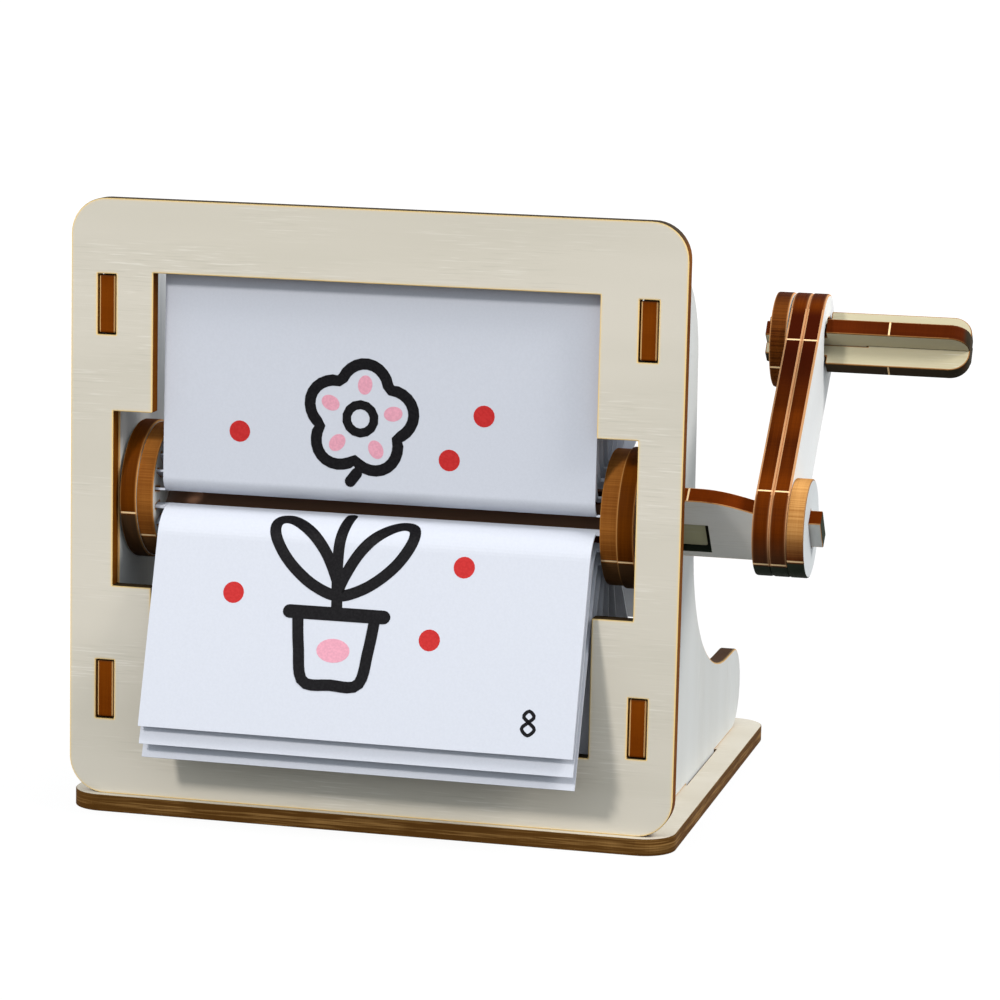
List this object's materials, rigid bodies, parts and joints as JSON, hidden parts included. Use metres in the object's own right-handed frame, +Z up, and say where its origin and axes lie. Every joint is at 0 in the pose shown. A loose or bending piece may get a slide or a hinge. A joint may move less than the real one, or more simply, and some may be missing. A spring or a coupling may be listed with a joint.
{
  "type": "hand-cranked flip-book viewer",
  "caption": "Hand-cranked flip-book viewer of cut plywood: a crank turns a drum of paper cards behind a framed window, and the window's top bar lets them flip down in turn",
  "frame": {"origin": "centre of the base's underside", "axes": "+Z up; -Y towards the viewer, out of the window; +X towards the crank, along the axle"},
  "size_m": [0.153, 0.1087, 0.1096],
  "materials": {
    "frame_ply": "satin",
    "drum_ply": "satin",
    "crank_ply": "satin",
    "key_ply": "satin",
    "card_paper": "matte"
  },
  "bodies": {
    "frame": {"base_plate": "frame_ply", "front_panel": "frame_ply", "left_side_panel": "frame_ply", "right_side_panel": "frame_ply"},
    "drum": {"axle_plate": "drum_ply", "axle_cross_plate": "drum_ply", "axle_key": "key_ply", "left_inner_disc": "drum_ply", "right_inner_disc": "drum_ply", "left_outer_disc": "drum_ply", "right_outer_disc": "drum_ply", "left_end_washer": "drum_ply", "crank_arm_inner": "crank_ply", "crank_arm_outer": "crank_ply", "crank_washer": "crank_ply", "flip_card_01": "card_paper", "flip_card_02": "card_paper", "flip_card_03": "card_paper", "flip_card_04": "card_paper", "flip_card_05": "card_paper", "flip_card_06": "card_paper", "flip_card_07": "card_paper", "flip_card_08": "card_paper", "flip_card_09": "card_paper", "flip_card_10": "card_paper", "flip_card_11": "card_paper", "flip_card_12": "card_paper", "flip_card_13": "card_paper", "flip_card_14": "card_paper", "flip_card_15": "card_paper", "flip_card_16": "card_paper", "flip_card_17": "card_paper", "flip_card_18": "card_paper", "flip_card_19": "card_paper", "flip_card_20": "card_paper"},
    "handle": {"handle_plate": "crank_ply", "handle_cross_plate": "crank_ply", "handle_washer": "crank_ply"}
  },
  "joints": [
    {"name": "crank_turn", "type": "hinge", "parent": "frame", "child": "drum", "pos_m": [0, -0.0345, 0.0565], "axis": [1, 0, 0], "continuous": true, "deforming": ["flip_card_01", "flip_card_02", "flip_card_03", "flip_card_04", "flip_card_05", "flip_card_06", "flip_card_07", "flip_card_08", "flip_card_09", "flip_card_10", "flip_card_11", "flip_card_12", "flip_card_13", "flip_card_14", "flip_card_15", "flip_card_16", "flip_card_17", "flip_card_18", "flip_card_19", "flip_card_20"]},
    {"name": "handle_spin", "type": "hinge", "parent": "drum", "child": "handle", "pos_m": [0.085, -0.00254, 0.08527], "axis": [1, 0, 0], "continuous": true}
  ]
}
